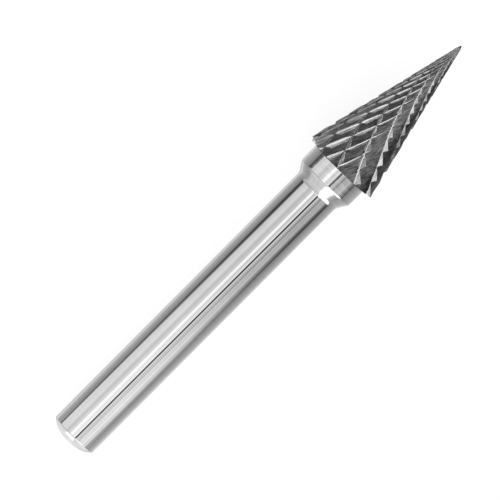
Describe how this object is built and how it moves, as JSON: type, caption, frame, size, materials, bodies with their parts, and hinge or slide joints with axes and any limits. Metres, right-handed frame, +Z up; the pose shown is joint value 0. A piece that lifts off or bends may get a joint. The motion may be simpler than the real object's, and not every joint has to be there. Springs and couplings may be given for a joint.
{
  "type": "rotary carbide burr",
  "caption": "Pointed-cone rotary burr: a solid head with crossed spiral flutes, brazed to a round steel shank with a collar.",
  "frame": {"origin": "centre of the shank's flat back end face", "axes": "+X along the tool's axis from the shank to the tip, +Z up with the tool lying down"},
  "size_m": [0.065, 0.01, 0.0096],
  "materials": {
    "ground_carbide": "ground tungsten carbide, dark grey with bright ground gullets",
    "silver_braze": "pale silver brazing alloy",
    "polished_steel": "centreless-ground steel, polished bright"
  },
  "bodies": {
    "root": {"carbide_head": "ground_carbide", "braze_joint": "silver_braze", "steel_shank": "polished_steel"}
  },
  "joints": []
}
